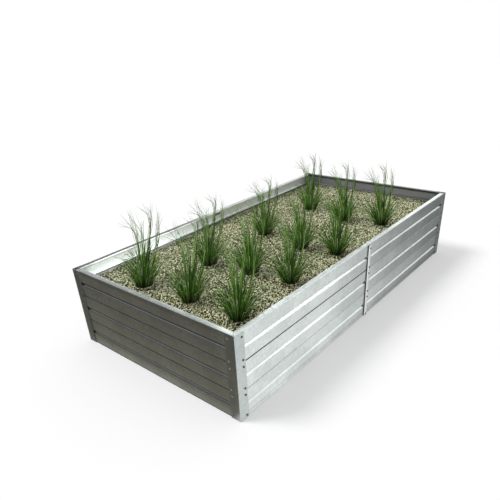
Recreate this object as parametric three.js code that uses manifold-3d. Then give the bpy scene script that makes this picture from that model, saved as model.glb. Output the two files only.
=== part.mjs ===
// A raised garden bed of galvanised sheet steel, filled with soil and gravel and planted with
// clumps of grass. Millimetres, +Z up. The origin is on the ground under the middle of the bed.
// X runs along the long sides, the front long side is at -Y, and the left end is at -X.
//
// Three roll-formed planks make the height of each wall. A short end has one section of planks
// and a long side has two, which meet behind a joint channel at its middle. Angle posts clasp
// the corners from outside. Bolts run through posts and channels into nuts inside the planks.

import * as THREE from "three";
import * as BufferGeometryUtils from "three/addons/utils/BufferGeometryUtils.js";
import Module from "manifold-3d";

const wasm = await Module();
wasm.setup();

// ---- Driving dimensions ----

// The bed, over the corner posts
const BED_LENGTH = 1955;
const BED_WIDTH = 1000;
const BED_HEIGHT = 390;
const CLEARANCE = 0.3; // between pieces that touch

// Roll-formed planks
const PLANKS_HIGH = 3;
const PLANK_SHEET = 1.2;
const PLANK_EDGE_RADIUS = 3;
const FLANGE_DEPTH = 25;
const LIP_HEIGHT = 8;
const GROOVE_BOTTOM = 55; // height of the groove's lower edge above the plank's foot
const GROOVE_TOP = 72;
const GROOVE_DEPTH = 8;
const GROOVE_FLOOR = [62.5, 68]; // heights where the sloping sides of the groove reach its floor
const MITRE_PULL_BACK = 1; // of each plank at a corner
const BUTT_PULL_BACK = 0.3; // of each plank at the middle of a long side

// Corner posts
const POST_SHEET = 2;
const POST_LEG = 50;
const POST_BEND_RADIUS = 4;

// Joint channels on the long sides
const CHANNEL_WIDTH = 21;
const CHANNEL_DEPTH = 8;
const CHANNEL_SHEET = 1.5;
const CHANNEL_EDGE_RADIUS = 5; // of its two long front edges
const CHANNEL_FOOT = 2; // its lower end above the ground
const CHANNEL_TOP = 387;

// Bolts and nuts
const BOLT_HEIGHTS = [12, 111]; // above the foot of each plank
const BOLT_FROM_CORNER = 37.5;
const HEAD_RADIUS = 4.75;
const HEAD_CROWN_RADIUS = 2.8;
const HEAD_HEIGHT = 2.75;
const HEAD_SEAT = 0.5; // overlap of a head and its shank with what they are joined to
const SHANK_RADIUS = 2.5;
const HOLE_RADIUS = 3.5;
const NUT_RADIUS = 4.6;
const NUT_HEIGHT = 4;

// Clamp plates behind the planks' ends at the joint channels
const PLATE_WIDTH = 44;
const PLATE_HEIGHT = 18;
const PLATE_THICKNESS = 2.5;

// Tie rod between the two joint channels, through the lower hole of the middle planks
const TIE_PLANK = 1;
const TIE_RADIUS = 3;

// Soil and gravel
const FILL_CORNER_CHAMFER = 52;
const SOIL_INSET = 26.5; // from the planks' outer faces, clear of their flanges
const SOIL_TOP = 270.5;
const GRAVEL_INSET = 10; // clear of nuts and clamp plates
const GRAVEL_TOP = 319;
const LUMP_SPACING = 78; // of the loose gravel's low humps
const HUMP_DROPS = [0, 2]; // of the humps' tops below the gravel's highest level
const HOLLOW_DROPS = [4, 7]; // of the hollows between them

// Grass clumps: [x, y] of each crown, height, and how far its top leans to its own right.
// All are turned alike, with their right towards the near right of the bed.
const CLUMPS = [
  { at: [-806, 205], height: 375, lean: 57 },
  { at: [-789, -79], height: 372, lean: 40 },
  { at: [-785, -345], height: 370, lean: 23 },
  { at: [-472, 117], height: 345, lean: 33 },
  { at: [-436, -116], height: 343, lean: 18 },
  { at: [-408, -326], height: 340, lean: 4 },
  { at: [-6, 133], height: 320, lean: 13 },
  { at: [-61, -143], height: 322, lean: 0 },
  { at: [-26, -336], height: 325, lean: -13 },
  { at: [489, 159], height: 340, lean: -4 },
  { at: [403, -124], height: 338, lean: -15 },
  { at: [464, -331], height: 340, lean: -29 },
];
const CLUMP_TURN = (-48.6 * Math.PI) / 180;
const CROWN_RADIUS = 46;
const CROWN_HEIGHT = 34;
const LOW_BLADES = 14; // around the crown
const LOW_BLADE_HEIGHTS = [95, 190]; // of the outermost and the innermost
const LOW_BLADE_REACH = [24, 88]; // of the innermost tip and the outermost from the crown's middle
const BLADE_RADIUS = 3.2;
const STEM_RADIUS = 3.6;

// The tall stems of a clump 375 high: [right, away, up] of three points that each stem passes,
// and of the tips that it divides into at the last one
const STEM_SET_HEIGHT = 375;
const STEMS = [
  {
    path: [[-12, -6, 10], [-17, -10, 125], [-33, -16, 262]],
    tips: [[-105, -30, 310], [-86, 4, 338], [-60, -26, 366]],
  },
  {
    path: [[-2, 10, 10], [-3, 13, 150], [-12, 14, 245]],
    tips: [[-78, 26, 348], [-6, 20, 304]],
  },
  {
    path: [[9, 2, 10], [16, 6, 155], [25, 8, 300]],
    tips: [[5, 2, 375], [26, 14, 370]],
  },
  {
    path: [[22, -4, 10], [51, -6, 170], [54, -4, 245]],
    tips: [[39, 4, 326], [53, -14, 362], [74, 0, 336]],
  },
];

// ---- Sizes that follow ----

const PLANK_PITCH = (BED_HEIGHT + CLEARANCE) / PLANKS_HIGH;
const PLANK_HEIGHT = PLANK_PITCH - CLEARANCE;
const WALL_INSET = POST_SHEET + CLEARANCE; // of the planks' outer faces from the posts' outer faces
const HALF_LENGTH = BED_LENGTH / 2 - WALL_INSET;
const HALF_WIDTH = BED_WIDTH / 2 - WALL_INSET;
const CORNER_BOLT_INSET = BOLT_FROM_CORNER - WALL_INSET; // from the end of a wall

// ---- Materials ----

const metal = (color, roughness) => new THREE.MeshStandardMaterial({ color, roughness, metalness: 0.85 });
const MATERIALS = {
  plank: metal(0xb4babb, 0.42),
  post: metal(0xabb1b2, 0.4),
  channel: metal(0xc4cacb, 0.38),
  fastener: metal(0x8d9294, 0.35),
  soil: new THREE.MeshStandardMaterial({ color: 0x3d2e22, roughness: 1, metalness: 0 }),
  gravel: new THREE.MeshStandardMaterial({ color: 0xa59f80, roughness: 0.9, metalness: 0 }),
  grass: new THREE.MeshStandardMaterial({ color: 0x4c7a3a, roughness: 0.7, metalness: 0 }),
};

const bed = new THREE.Group();

// The four walls: the turn about Z that puts a wall's own frame in place, in which x runs along
// the wall, y is the depth inwards from the planks' outer face, and z is up.
const WALLS = {
  front: { turn: 0, out: [0, -HALF_WIDTH] },
  right_end: { turn: Math.PI / 2, out: [HALF_LENGTH, 0] },
  back: { turn: Math.PI, out: [0, HALF_WIDTH] },
  left_end: { turn: -Math.PI / 2, out: [-HALF_LENGTH, 0] },
};

function addMesh(parent, name, geometry, material, position = [0, 0, 0]) {
  const mesh = new THREE.Mesh(geometry, material);
  mesh.name = name;
  mesh.position.set(...position);
  parent.add(mesh);
}

function wallGroup({ turn, out }) {
  const group = new THREE.Group();
  group.rotation.z = turn;
  group.position.set(...out, 0);
  bed.add(group);
  return group;
}

// ---- Solids ----

function toSolid(geometry) {
  const bare = geometry.clone();
  bare.deleteAttribute("normal");
  bare.deleteAttribute("uv");
  const merged = BufferGeometryUtils.mergeVertices(bare, 1e-4);
  return new wasm.Manifold(new wasm.Mesh({
    numProp: 3,
    vertProperties: new Float32Array(merged.attributes.position.array),
    triVerts: new Uint32Array(merged.index.array),
  }));
}

function toGeometry(solid) {
  const { vertProperties, triVerts, numProp } = solid.getMesh();
  const geometry = new THREE.BufferGeometry();
  const positions = new Float32Array((vertProperties.length / numProp) * 3);
  for (let i = 0; i < positions.length / 3; i++) {
    positions.set(vertProperties.subarray(i * numProp, i * numProp + 3), i * 3);
  }
  geometry.setAttribute("position", new THREE.BufferAttribute(positions, 3));
  geometry.setIndex([...triVerts]);
  geometry.computeVertexNormals();
  return geometry;
}

function join(geometries) {
  return toGeometry(geometries.map(toSolid).reduce((whole, piece) => whole.add(piece)));
}

function cut(geometry, tools) {
  return toGeometry(tools.map(toSolid).reduce((whole, tool) => whole.subtract(tool), toSolid(geometry)));
}

function box([x0, x1], [y0, y1], [z0, z1]) {
  const geometry = new THREE.BoxGeometry(x1 - x0, y1 - y0, z1 - z0);
  return geometry.translate((x0 + x1) / 2, (y0 + y1) / 2, (z0 + z1) / 2);
}

// A bar along y from y0 to y1, which may taper towards its start
function bar(x, z, y0, y1, radius, sides, startRadius = radius) {
  const geometry = new THREE.CylinderGeometry(radius, startRadius, y1 - y0, sides);
  return geometry.translate(x, (y0 + y1) / 2, z);
}

// ---- Bent sheet ----

// The closed outline of a sheet whose outer face follows the points, with its thickness on the
// left of their direction
function sheetOutline(points, thickness) {
  const inner = points.map((point, i) => {
    const before = point.clone().sub(points[Math.max(i - 1, 0)]);
    const after = points[Math.min(i + 1, points.length - 1)].clone().sub(point);
    const directions = [before, after].filter((d) => d.length() > 0).map((d) => d.normalize());
    const normals = directions.map((d) => new THREE.Vector2(-d.y, d.x));
    const bisector = normals.reduce((sum, n) => sum.add(n), new THREE.Vector2()).normalize();
    const first = new THREE.Vector2(-directions[0].y, directions[0].x);
    return point.clone().addScaledVector(bisector, thickness / bisector.dot(first));
  });
  return new THREE.Shape([...points, ...inner.reverse()]);
}

function arcPoints(cx, cy, radius, from, to, steps) {
  return Array.from({ length: steps + 1 }, (_, i) => {
    const angle = from + ((to - from) * i) / steps;
    return new THREE.Vector2(cx + radius * Math.cos(angle), cy + radius * Math.sin(angle));
  });
}

// ---- Planks ----

// Depth and height of the plank's outer face, from the lip at its foot to the lip at its rim
function plankOutline() {
  const r = PLANK_EDGE_RADIUS;
  const top = PLANK_HEIGHT;
  const at = (depth, height) => new THREE.Vector2(depth, height);
  return [
    at(FLANGE_DEPTH, LIP_HEIGHT), at(FLANGE_DEPTH, 0),
    ...arcPoints(r, r, r, -Math.PI / 2, -Math.PI, 2),
    at(0, GROOVE_BOTTOM), at(GROOVE_DEPTH, GROOVE_FLOOR[0]),
    at(GROOVE_DEPTH, GROOVE_FLOOR[1]), at(0, GROOVE_TOP),
    ...arcPoints(r, top - r, r, Math.PI, Math.PI / 2, 2),
    at(FLANGE_DEPTH, top), at(FLANGE_DEPTH, top - LIP_HEIGHT),
  ];
}

const PLANK_SECTION = sheetOutline(plankOutline(), -PLANK_SHEET);

// A plank between two ends. A mitred end draws in by the depth, a butted end is square.
function plankGeometry(left, right, boltXs) {
  const blank = new THREE.ExtrudeGeometry(PLANK_SECTION, { depth: 1, bevelEnabled: false });
  const position = blank.attributes.position;
  for (let i = 0; i < position.count; i++) {
    const depth = position.getX(i);
    const height = position.getY(i);
    const start = left.x + (left.mitred ? depth : 0);
    const end = right.x - (right.mitred ? depth : 0);
    position.setXYZ(i, position.getZ(i) < 0.5 ? start : end, depth, height);
  }
  const holes = boltXs.flatMap((x) =>
    BOLT_HEIGHTS.map((z) => bar(x, z, -1, PLANK_SHEET + 1, HOLE_RADIUS, 8)));
  return cut(blank, holes);
}

function addPlanks(group, names, geometry) {
  names.forEach((name, level) =>
    addMesh(group, name, geometry, MATERIALS.plank, [0, 0, level * PLANK_PITCH]));
}

const LEVELS = ["lower", "middle", "upper"];

for (const name of ["left_end", "right_end"]) {
  const corner = HALF_WIDTH - MITRE_PULL_BACK;
  const boltX = HALF_WIDTH - CORNER_BOLT_INSET;
  const geometry = plankGeometry({ x: -corner, mitred: true }, { x: corner, mitred: true }, [-boltX, boltX]);
  addPlanks(wallGroup(WALLS[name]), LEVELS.map((level) => `${name}_plank_${level}`), geometry);
}

for (const name of ["front", "back"]) {
  const corner = HALF_LENGTH - MITRE_PULL_BACK;
  const boltX = HALF_LENGTH - CORNER_BOLT_INSET;
  const group = wallGroup(WALLS[name]);
  const sideNames = name === "front" ? ["left", "right"] : ["right", "left"];
  const sections = [
    plankGeometry({ x: -corner, mitred: true }, { x: -BUTT_PULL_BACK, mitred: false }, [-boltX, 0]),
    plankGeometry({ x: BUTT_PULL_BACK, mitred: false }, { x: corner, mitred: true }, [0, boltX]),
  ];
  sections.forEach((geometry, i) =>
    addPlanks(group, LEVELS.map((level) => `${name}_${sideNames[i]}_plank_${level}`), geometry));
}

// ---- Bolts ----

// A crowned head stands out of the face at y = faceY, and a cap nut starts at y = nutY
function boltPieces(x, z, faceY, nutY) {
  return [
    bar(x, z, faceY - HEAD_HEIGHT, faceY + HEAD_SEAT, HEAD_RADIUS, 8, HEAD_CROWN_RADIUS),
    bar(x, z, faceY, nutY + HEAD_SEAT, SHANK_RADIUS, 6),
    bar(x, z, nutY, nutY + NUT_HEIGHT, NUT_RADIUS, 6),
  ];
}

const boltLevels = Array.from({ length: PLANKS_HIGH }, (_, level) =>
  BOLT_HEIGHTS.map((height) => level * PLANK_PITCH + height)).flat();

// ---- Corner posts ----

// One post in the frame of the front left corner: the corner's outer edge at the origin,
// one leg along +x and the other along +y, with its bolts
function postGeometry() {
  const r = POST_BEND_RADIUS;
  const outer = [
    new THREE.Vector2(0, POST_LEG),
    ...arcPoints(r, r, r, Math.PI, 1.5 * Math.PI, 3),
    new THREE.Vector2(POST_LEG, 0),
  ];
  const angle = new THREE.ExtrudeGeometry(sheetOutline(outer, POST_SHEET),
    { depth: BED_HEIGHT, bevelEnabled: false });
  const nutY = WALL_INSET + PLANK_SHEET + CLEARANCE;
  const frontBolts = boltLevels.flatMap((z) => boltPieces(BOLT_FROM_CORNER, z, 0, nutY));
  const endBolts = boltLevels.flatMap((z) => boltPieces(-BOLT_FROM_CORNER, z, 0, nutY))
    .map((piece) => piece.rotateZ(-Math.PI / 2));
  return join([angle, ...frontBolts, ...endBolts]);
}

const CORNERS = {
  front_left: { turn: 0, at: [-1, -1] },
  front_right: { turn: Math.PI / 2, at: [1, -1] },
  back_right: { turn: Math.PI, at: [1, 1] },
  back_left: { turn: -Math.PI / 2, at: [-1, 1] },
};

const post = postGeometry();
for (const [name, { turn, at }] of Object.entries(CORNERS)) {
  const group = new THREE.Group();
  group.rotation.z = turn;
  group.position.set((at[0] * BED_LENGTH) / 2, (at[1] * BED_WIDTH) / 2, 0);
  bed.add(group);
  addMesh(group, `corner_post_${name}`, post, MATERIALS.post);
}

// ---- Joint channels, clamp plates and tie rod ----

const CHANNEL_FACE = -CLEARANCE - CHANNEL_DEPTH; // depth of its outer face in the wall's frame
const PLATE_FACE = PLANK_SHEET + CLEARANCE;
const CHANNEL_NUT = PLATE_FACE + PLATE_THICKNESS + CLEARANCE;
const tieLevel = TIE_PLANK * PLANK_PITCH + BOLT_HEIGHTS[0];
const channelBoltLevels = boltLevels.filter((z) => z !== tieLevel);

function channelGeometry() {
  const half = CHANNEL_WIDTH / 2;
  const back = -CLEARANCE;
  const r = CHANNEL_EDGE_RADIUS;
  const outer = [
    new THREE.Vector2(-half, back),
    ...arcPoints(r - half, CHANNEL_FACE + r, r, Math.PI, 1.5 * Math.PI, 3),
    ...arcPoints(half - r, CHANNEL_FACE + r, r, 1.5 * Math.PI, 2 * Math.PI, 3),
    new THREE.Vector2(half, back),
  ];
  const channel = new THREE.ExtrudeGeometry(sheetOutline(outer, CHANNEL_SHEET),
    { depth: CHANNEL_TOP - CHANNEL_FOOT, bevelEnabled: false }).translate(0, 0, CHANNEL_FOOT);
  const cap = new THREE.ExtrudeGeometry(new THREE.Shape(outer), { depth: CHANNEL_SHEET, bevelEnabled: false })
    .translate(0, 0, CHANNEL_TOP - CHANNEL_SHEET);
  const bolts = channelBoltLevels.flatMap((z) => boltPieces(0, z, CHANNEL_FACE, CHANNEL_NUT));
  const tieHole = bar(0, tieLevel, CHANNEL_FACE - 1, back, HOLE_RADIUS, 8);
  return cut(join([channel, cap, ...bolts]), [tieHole]);
}

const platePlain = box([-PLATE_WIDTH / 2, PLATE_WIDTH / 2], [PLATE_FACE, PLATE_FACE + PLATE_THICKNESS],
  [-PLATE_HEIGHT / 2, PLATE_HEIGHT / 2]);
const clampPlate = cut(platePlain, [bar(0, 0, 0, CHANNEL_NUT, HOLE_RADIUS, 8)]);
const channel = channelGeometry();
for (const name of ["front", "back"]) {
  const group = wallGroup(WALLS[name]);
  addMesh(group, `joint_channel_${name}`, channel, MATERIALS.channel);
  boltLevels.forEach((z, i) =>
    addMesh(group, `clamp_plate_${name}_${i + 1}`, clampPlate, MATERIALS.fastener, [0, 0, z]));
}

// The rod's two ends carry a head outside each channel and a nut inside each wall.
function tieRodGeometry() {
  const headFace = HALF_WIDTH - CHANNEL_FACE + CLEARANCE;
  const nutFace = HALF_WIDTH - CHANNEL_NUT;
  const ends = [-1, 1].flatMap((side) => {
    const span = (a, b) => [Math.min(side * a, side * b), Math.max(side * a, side * b)];
    return [
      bar(0, 0, ...span(headFace, headFace + HEAD_HEIGHT), HEAD_RADIUS, 8),
      bar(0, 0, ...span(nutFace - NUT_HEIGHT, nutFace), NUT_RADIUS, 6),
    ];
  });
  const rod = bar(0, 0, -headFace - HEAD_SEAT, headFace + HEAD_SEAT, TIE_RADIUS, 8);
  return join([rod, ...ends]);
}
addMesh(bed, "tie_rod", tieRodGeometry(), MATERIALS.fastener, [0, 0, tieLevel]);

// ---- Soil and gravel ----

// A block inside the walls with its four corners cut off, clear of the bolts there
function fillBlock(inset, bottom, top) {
  const x = HALF_LENGTH - inset;
  const y = HALF_WIDTH - inset;
  const c = FILL_CORNER_CHAMFER - inset;
  const outline = [[x - c, -y], [x, -y + c], [x, y - c], [x - c, y],
    [-x + c, y], [-x, y - c], [-x, -y + c], [-x + c, -y]];
  const shape = new THREE.Shape(outline.map(([px, py]) => new THREE.Vector2(px, py)));
  return new THREE.ExtrudeGeometry(shape, { depth: top - bottom, bevelEnabled: false })
    .translate(0, 0, bottom);
}

// A number between 0 and 1 that looks random but is always the same for the same i and j
function scatter(i, j) {
  const wave = Math.sin(i * 12.9898 + j * 78.233) * 43758.5453;
  return wave - Math.floor(wave);
}

// A slab, larger than the bed, whose top is a field of low four-sided humps
function humpedSlab(foot) {
  const columns = Math.ceil(BED_LENGTH / LUMP_SPACING / 2);
  const rows = Math.ceil(BED_WIDTH / LUMP_SPACING / 2);
  const level = (i, j, [least, most]) => GRAVEL_TOP - least - (most - least) * scatter(i, j);
  const corner = (i, j) => [i * LUMP_SPACING, j * LUMP_SPACING, level(i, j, HOLLOW_DROPS)];
  const hump = (i, j) => [(i + 0.3 + 0.4 * scatter(j, i)) * LUMP_SPACING,
    (j + 0.3 + 0.4 * scatter(j, -i)) * LUMP_SPACING, level(i + 0.5, j + 0.5, HUMP_DROPS)];
  const positions = [];
  const face = (...corners) => corners.forEach((point) => positions.push(...point));
  const low = ([x, y]) => [x, y, foot];
  for (let i = -columns; i < columns; i++) {
    for (let j = -rows; j < rows; j++) {
      const ring = [corner(i, j), corner(i + 1, j), corner(i + 1, j + 1), corner(i, j + 1)];
      ring.forEach((point, k) => face(point, ring[(k + 1) % 4], hump(i, j)));
      const onEdge = [j === -rows, i === columns - 1, j === rows - 1, i === -columns];
      ring.forEach((point, k) => {
        const next = ring[(k + 1) % 4];
        if (onEdge[k]) face(low(point), low(next), next, low(point), next, point);
      });
      const under = ring.map(low);
      face(under[0], under[2], under[1], under[0], under[3], under[2]);
    }
  }
  const geometry = new THREE.BufferGeometry();
  geometry.setAttribute("position", new THREE.BufferAttribute(new Float32Array(positions), 3));
  return geometry;
}

// The gravel is level under each clump, where its crown stands.
function gravelGeometry() {
  const foot = SOIL_TOP + CLEARANCE;
  const pads = CLUMPS.map(({ at }) => {
    const pad = new THREE.CylinderGeometry(CROWN_RADIUS + 2, CROWN_RADIUS + 2, GRAVEL_TOP - foot, 10);
    return pad.rotateX(Math.PI / 2).translate(at[0], at[1], (GRAVEL_TOP + foot) / 2);
  });
  const humped = [humpedSlab(foot - 1), ...pads].map(toSolid).reduce((whole, piece) => whole.add(piece));
  return toGeometry(humped.intersect(toSolid(fillBlock(GRAVEL_INSET, foot, GRAVEL_TOP + 1))));
}

const tunnel = bar(0, tieLevel, -HALF_WIDTH, HALF_WIDTH, HOLE_RADIUS, 8);
addMesh(bed, "soil_fill", cut(fillBlock(SOIL_INSET, CLEARANCE, SOIL_TOP), [tunnel]), MATERIALS.soil);
addMesh(bed, "gravel_layer", gravelGeometry(), MATERIALS.gravel);

// ---- Grass ----

// A three-sided blade that tapers to a point along a curve
function bladeGeometry(curve, radius, steps) {
  const sides = 3;
  const positions = [];
  const index = [];
  for (let step = 0; step < steps; step++) {
    const t = step / steps;
    const centre = curve.getPoint(t);
    const reach = radius * (1 - 0.75 * t);
    for (let side = 0; side < sides; side++) {
      const angle = (2 * Math.PI * side) / sides;
      positions.push(centre.x + reach * Math.cos(angle), centre.y + reach * Math.sin(angle), centre.z);
    }
  }
  positions.push(...curve.getPoint(1).toArray());
  const tip = steps * sides;
  index.push(0, 2, 1);
  for (let step = 0; step < steps; step++) {
    for (let side = 0; side < sides; side++) {
      const a = step * sides + side;
      const b = step * sides + ((side + 1) % sides);
      if (step === steps - 1) index.push(a, b, tip);
      else index.push(a, b, b + sides, a, b + sides, a + sides);
    }
  }
  const geometry = new THREE.BufferGeometry();
  geometry.setAttribute("position", new THREE.BufferAttribute(new Float32Array(positions), 3));
  geometry.setIndex(index);
  return geometry;
}

const GOLDEN_ANGLE = Math.PI * (3 - Math.sqrt(5));

// Low blades fan out all round, the outer ones shorter and flatter.
function lowBlades(scale) {
  const [lowest, highest] = LOW_BLADE_HEIGHTS;
  const [nearest, farthest] = LOW_BLADE_REACH;
  return Array.from({ length: LOW_BLADES }, (_, i) => {
    const outward = Math.sqrt((i + 0.5) / LOW_BLADES);
    const angle = i * GOLDEN_ANGLE;
    const top = scale * (highest + (lowest - highest) * outward);
    const point = (radius, z) => new THREE.Vector3(radius * Math.cos(angle), radius * Math.sin(angle), z);
    return bladeGeometry(new THREE.QuadraticBezierCurve3(
      point(CROWN_RADIUS * 0.7 * outward, CROWN_HEIGHT * 0.35),
      point(CROWN_RADIUS * outward, top * 0.6),
      point(nearest + (farthest - nearest) * outward, top),
    ), BLADE_RADIUS, 3);
  });
}

// A stem is one blade as far as its first tip, and its other tips branch off where it divides.
function stemBlades({ path, tips }, place) {
  const [foot, middle, fork] = path.map(place);
  const [first, ...others] = tips.map(place);
  const whole = bladeGeometry(new THREE.CatmullRomCurve3([foot, middle, fork, first]), STEM_RADIUS, 6);
  const branches = others.map((tip) => {
    const rise = fork.clone().sub(middle).setLength(fork.distanceTo(tip) * 0.4);
    const bend = fork.clone().add(rise);
    return bladeGeometry(new THREE.QuadraticBezierCurve3(fork, bend, tip), STEM_RADIUS * 0.5, 3);
  });
  return [whole, ...branches];
}

function clumpGeometry(height, lean) {
  const scale = height / STEM_SET_HEIGHT;
  const crown = new THREE.LatheGeometry([
    [0, 0], [CROWN_RADIUS, 0], [CROWN_RADIUS, CROWN_HEIGHT * 0.35], [0, CROWN_HEIGHT],
  ].map(([r, z]) => new THREE.Vector2(r, z)), 10).rotateX(Math.PI / 2);
  const place = ([right, away, up]) =>
    new THREE.Vector3(right * scale + (lean * up) / STEM_SET_HEIGHT, away * scale, up * scale);
  return join([crown, ...lowBlades(scale), ...STEMS.flatMap((stem) => stemBlades(stem, place))]);
}

CLUMPS.forEach(({ at, height, lean }, i) => {
  const group = new THREE.Group();
  group.rotation.z = CLUMP_TURN;
  group.position.set(...at, GRAVEL_TOP + CLEARANCE);
  bed.add(group);
  addMesh(group, `grass_clump_${i + 1}`, clumpGeometry(height, lean), MATERIALS.grass);
});

export default bed;
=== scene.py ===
"""A raised garden bed of galvanised steel planks, filled with gravel and planted with clumps of grass.

Metres, +Z up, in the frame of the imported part: X runs along the long sides, the front long side is
at -Y, the left end is at -X, and the origin is on the ground under the middle of the bed.
"""

import math

import bmesh
import bpy
import numpy as np
from mathutils import Matrix, Vector


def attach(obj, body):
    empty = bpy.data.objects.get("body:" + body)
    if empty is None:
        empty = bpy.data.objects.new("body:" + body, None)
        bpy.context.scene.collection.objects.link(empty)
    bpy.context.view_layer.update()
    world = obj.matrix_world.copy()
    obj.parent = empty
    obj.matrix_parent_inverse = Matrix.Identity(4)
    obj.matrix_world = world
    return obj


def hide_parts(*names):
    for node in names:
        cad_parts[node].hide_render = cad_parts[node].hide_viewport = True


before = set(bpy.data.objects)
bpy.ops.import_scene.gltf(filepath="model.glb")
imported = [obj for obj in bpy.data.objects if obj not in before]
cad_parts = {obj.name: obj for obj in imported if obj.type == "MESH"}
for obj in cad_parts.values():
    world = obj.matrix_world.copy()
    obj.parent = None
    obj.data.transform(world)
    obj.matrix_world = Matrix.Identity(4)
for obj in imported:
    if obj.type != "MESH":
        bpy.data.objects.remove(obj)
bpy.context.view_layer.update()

# ---- Driving dimensions, in metres, as the part has them ----

BED_LENGTH = 1.955
BED_WIDTH = 1.0
BED_HEIGHT = 0.39
CLEARANCE = 0.0003

PLANKS_HIGH = 3
PLANK_SHEET = 0.0012
PLANK_EDGE_RADIUS = 0.0022
FLANGE_DEPTH = 0.025
LIP_HEIGHT = 0.008
GROOVE_BOTTOM = 0.055
GROOVE_TOP = 0.072
GROOVE_DEPTH = 0.008
GROOVE_FLOOR = (0.0625, 0.068)
GROOVE_EDGE_RADIUS = 0.0014
MITRE_PULL_BACK = 0.001
BUTT_PULL_BACK = 0.0003
PLANK_SLICES = 40  # along a blank, so that the sheet can be a little wavy
SHEET_WAVE_LENGTH = 0.26
SHEET_WAVE_DEPTH = 0.0007

POST_SHEET = 0.002
POST_LEG = 0.05
POST_BEND_RADIUS = 0.004

CHANNEL_WIDTH = 0.021
CHANNEL_DEPTH = 0.008
CHANNEL_SHEET = 0.0015
CHANNEL_EDGE_RADIUS = 0.005
CHANNEL_FOOT = 0.002
CHANNEL_TOP = 0.387

BOLT_HEIGHTS = (0.012, 0.111)  # above the foot of each plank
BOLT_FROM_CORNER = 0.0375
HEAD_RADIUS = 0.00475
HEAD_HEIGHT = 0.00275
HEAD_SKIRT = 0.35  # of the head's height, which is upright
HEAD_DOME = ((0.3, 0.88), (0.22, 0.78), (0.13, 0.72))  # each step's share of the height, and how it narrows
SOCKET_RADIUS = 0.0017
SOCKET_DEPTH = 0.0011
SHANK_RADIUS = 0.0025
NUT_RADIUS = 0.0046
NUT_HEIGHT = 0.004
NUT_FACE = 0.7  # of the nut's width, at its dished end
NUT_DISH = 0.08  # of the nut's height
PLATE_THICKNESS = 0.0025
TIE_LEVEL = 2  # the bolt level, from the ground, at which the rod crosses the bed
TIE_RADIUS = 0.003

GRAVEL_TOP = 0.319
GRAVEL_BED_TOP = 0.3070  # of the finer gravel between the stones
GRAVEL_FOOT = 0.2715
GRAVEL_INSET = 0.0095
GRAVEL_STRIPS = 8
LUMP_SPACING = 0.078  # of the loose gravel's low humps
HUMP_DROPS = (0.0, 0.002)  # of the humps' tops below the gravel's highest level
HOLLOW_DROPS = (0.004, 0.007)  # of the hollows between them
WALL_RISE = 0.0075  # of the gravel against the walls, above its highest level
WALL_RISE_REACH = 0.035
STONE_SPACING = 0.0091
STONE_LENGTHS = (0.0076, 0.0136)
STONE_WIDTHS = (0.0048, 0.0072)
STONE_THICKNESSES = (0.0045, 0.0064)
STONE_SHAPES = 8
STONE_SHAKE = 0.42  # of the spacing, by which each stone is moved from its place in the rows
STONE_HEADING = (0.25, 0.7)  # middle and spread, in radians
STONE_TILT = (0, 0.3)
STONE_RISES = (-0.0035, 0.001)  # of the stones' tops from the gravel's level
STONE_INSET = 0.004  # of the outermost stones' middles from the gravel's edge
STONE_TINTS = (0.9, 0.8)  # a beta spread, with rather more pale stones than dark ones
FINE_GRAVEL_UNEVENNESS = 0.002

CROWN_RADIUS = 0.044
CROWN_MARGIN = 0.004  # of level gravel around a crown
CROWN_CORE = CROWN_RADIUS * 0.62  # of the solid foot, around which the blades stand
CROWN_RISE = 0.021
CLUMP_TURN = math.radians(-48.6)
STEM_SET_HEIGHT = 0.375
CLUMP_SPREAD = 1.06  # of each clump across, whatever its height

# [x, y] of each clump, its height, and how far its top leans to its own right
CLUMPS = [
    ((-0.806, 0.205), 0.375, 0.057),
    ((-0.789, -0.079), 0.372, 0.040),
    ((-0.785, -0.345), 0.370, 0.023),
    ((-0.472, 0.117), 0.345, 0.033),
    ((-0.436, -0.116), 0.343, 0.018),
    ((-0.408, -0.326), 0.340, 0.004),
    ((-0.006, 0.133), 0.320, 0.013),
    ((-0.061, -0.143), 0.322, 0.0),
    ((-0.026, -0.336), 0.325, -0.013),
    ((0.489, 0.159), 0.340, -0.004),
    ((0.403, -0.124), 0.338, -0.015),
    ((0.464, -0.331), 0.340, -0.029),
]

# The tall stems of a clump 375 mm high, in millimetres: [right, away, up] of the points that each
# one passes, then of the tips that it divides into, with the number of blades that end at each
STEMS = [
    (
        [(-12, -6, 0), (-17, -10, 125), (-33, -16, 262)],
        [((-105, -30, 310), 4), ((-86, 4, 338), 3), ((-60, -26, 366), 4)],
    ),
    ([(-2, 10, 0), (-3, 13, 150), (-12, 14, 245)], [((-78, 26, 348), 4), ((-6, 20, 304), 4)]),
    ([(9, 2, 0), (16, 6, 155), (25, 8, 300)], [((-12, 2, 375), 3), ((5, 2, 375), 4), ((26, 14, 370), 3)]),
    (
        [(22, -4, 0), (51, -6, 170), (54, -4, 245)],
        [((33, 4, 326), 3), ((53, -14, 362), 4), ((74, 0, 336), 4)],
    ),
]

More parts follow.
